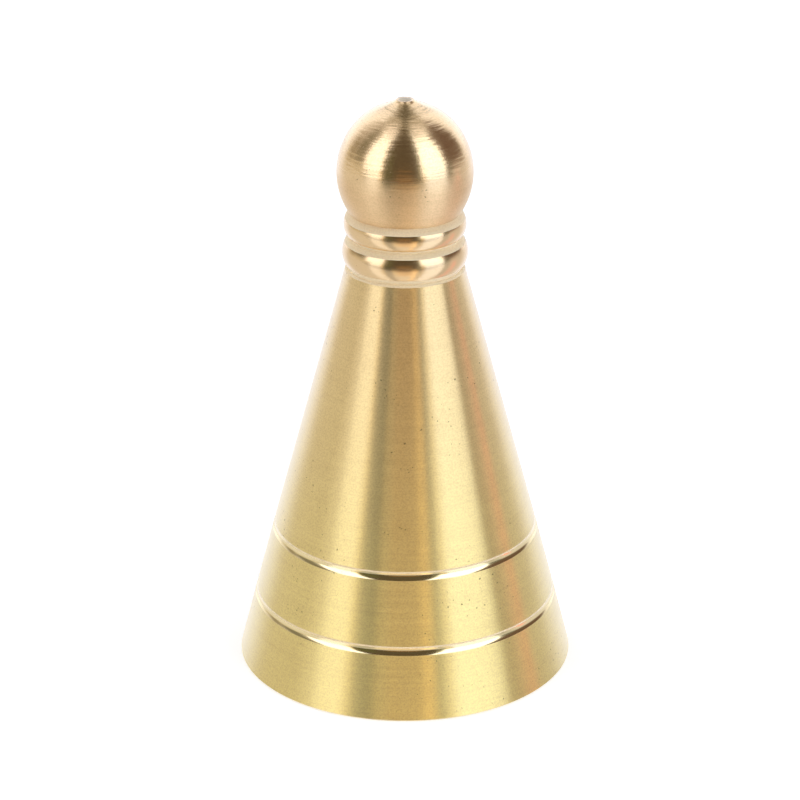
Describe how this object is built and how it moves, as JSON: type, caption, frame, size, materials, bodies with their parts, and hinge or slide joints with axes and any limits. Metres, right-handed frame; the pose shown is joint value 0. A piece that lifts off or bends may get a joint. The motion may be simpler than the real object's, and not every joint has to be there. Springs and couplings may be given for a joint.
{
  "type": "spinning top",
  "caption": "Turned brass spinning top: hollow cone with grooves round its flat crown, and a screw-in finial with beads, a ball and a hard spinning point.",
  "frame": {"origin": "centre of the flat crown face that the top stands on, on the spin axis", "axes": "+Z along the spin axis, from the crown to the spinning point; X and Y are any pair across it"},
  "size_m": [0.03, 0.03, 0.0521],
  "materials": {
    "yellow_brass": "satin turned, with polished grooves",
    "red_brass": "satin turned ball, polished beads",
    "hard_steel": "ground",
    "stud_steel": "cut thread, lightly oiled",
    "ring_rubber": "matt"
  },
  "bodies": {
    "cone": {"cone_body": "yellow_brass"},
    "ring": {"friction_ring": "ring_rubber"},
    "finial": {"ball_finial": "red_brass", "threaded_stud": "stud_steel", "tip_pin": "hard_steel"}
  },
  "joints": [
    {"name": "finial_lift", "type": "slide", "parent": "cone", "child": "ring", "axis": [0, 0, 1], "range_m": [0, 0.0048]},
    {"name": "finial_unscrew", "type": "hinge", "parent": "ring", "child": "finial", "pos_m": [0, 0, 0.037], "axis": [0, 0, 1], "range_deg": [0, 2161]}
  ],
  "couplings": [
    {"joint": "finial_unscrew", "follows": "finial_lift", "rad_per_m": 7854}
  ]
}
